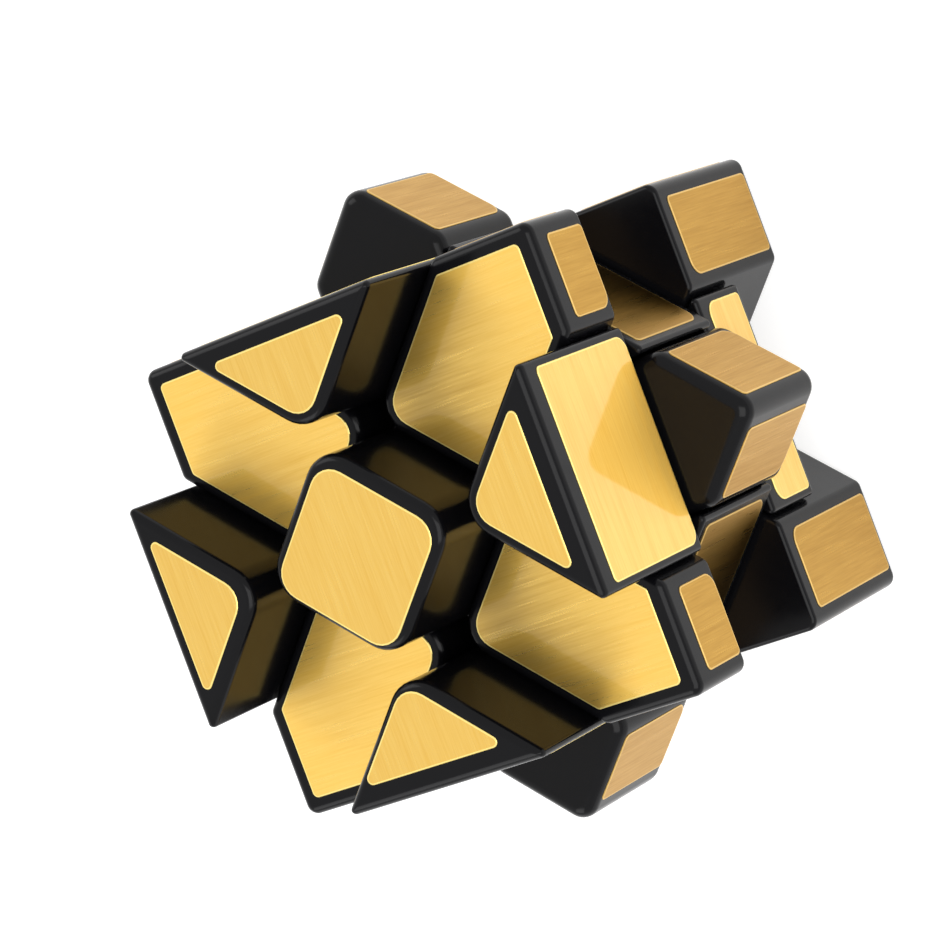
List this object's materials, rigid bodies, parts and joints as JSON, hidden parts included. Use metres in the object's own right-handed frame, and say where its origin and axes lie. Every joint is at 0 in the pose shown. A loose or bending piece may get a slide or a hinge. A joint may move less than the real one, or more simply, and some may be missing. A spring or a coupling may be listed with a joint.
{
  "type": "mirror block puzzle",
  "caption": "Layer-turning mirror block puzzle with cuts at 45 degrees to its square outline, shown scrambled, with tall and low blocks and the middle layer turned so its ridges stand out.",
  "frame": {"origin": "centre of the core, where all turning axes meet, halfway between the highest and lowest block faces", "axes": "+Z along the axis that the layers turn about, towards the layer with the tall centre block; +X through one ridge of the middle layer"},
  "size_m": [0.0798, 0.0798, 0.0698],
  "materials": {
    "black_plastic": "glossy moulded black",
    "gold_foil": "brushed gold foil sticker, satin",
    "core_nylon": "natural white moulded",
    "screw_steel": "zinc plated",
    "spring_steel": "drawn spring wire"
  },
  "bodies": {
    "middle_layer": {"core": "core_nylon", "screw_top": "screw_steel", "screw_bottom": "screw_steel", "screw_side_1": "screw_steel", "screw_side_2": "screw_steel", "screw_side_3": "screw_steel", "screw_side_4": "screw_steel", "washer_top": "screw_steel", "washer_bottom": "screw_steel", "washer_side_1": "screw_steel", "washer_side_2": "screw_steel", "washer_side_3": "screw_steel", "washer_side_4": "screw_steel", "spring_top": "spring_steel", "spring_bottom": "spring_steel", "spring_side_1": "spring_steel", "spring_side_2": "spring_steel", "spring_side_3": "spring_steel", "spring_side_4": "spring_steel", "side_1_centre_base": "black_plastic", "side_2_centre_base": "black_plastic", "side_3_centre_base": "black_plastic", "side_4_centre_base": "black_plastic", "side_1_centre_cap": "black_plastic", "side_2_centre_cap": "black_plastic", "side_3_centre_cap": "black_plastic", "side_4_centre_cap": "black_plastic", "middle_edge_1": "black_plastic", "middle_edge_2": "black_plastic", "middle_edge_3": "black_plastic", "middle_edge_4": "black_plastic"},
    "top_layer": {"top_centre_base": "black_plastic", "top_centre_cap": "black_plastic", "top_edge_1": "black_plastic", "top_edge_2": "black_plastic", "top_edge_3": "black_plastic", "top_edge_4": "black_plastic", "top_corner_1": "black_plastic", "top_corner_2": "black_plastic", "top_corner_3": "black_plastic", "top_corner_4": "black_plastic"},
    "bottom_layer": {"bottom_centre_base": "black_plastic", "bottom_centre_cap": "black_plastic", "bottom_edge_1": "black_plastic", "bottom_edge_2": "black_plastic", "bottom_edge_3": "black_plastic", "bottom_edge_4": "black_plastic", "bottom_corner_1": "black_plastic", "bottom_corner_2": "black_plastic", "bottom_corner_3": "black_plastic", "bottom_corner_4": "black_plastic"}
  },
  "joints": [
    {"name": "top_turn", "type": "hinge", "parent": "middle_layer", "child": "top_layer", "pos_m": [0, 0, 0], "axis": [0, 0, 1], "continuous": true},
    {"name": "bottom_turn", "type": "hinge", "parent": "middle_layer", "child": "bottom_layer", "pos_m": [0, 0, 0], "axis": [0, 0, -1], "continuous": true}
  ]
}
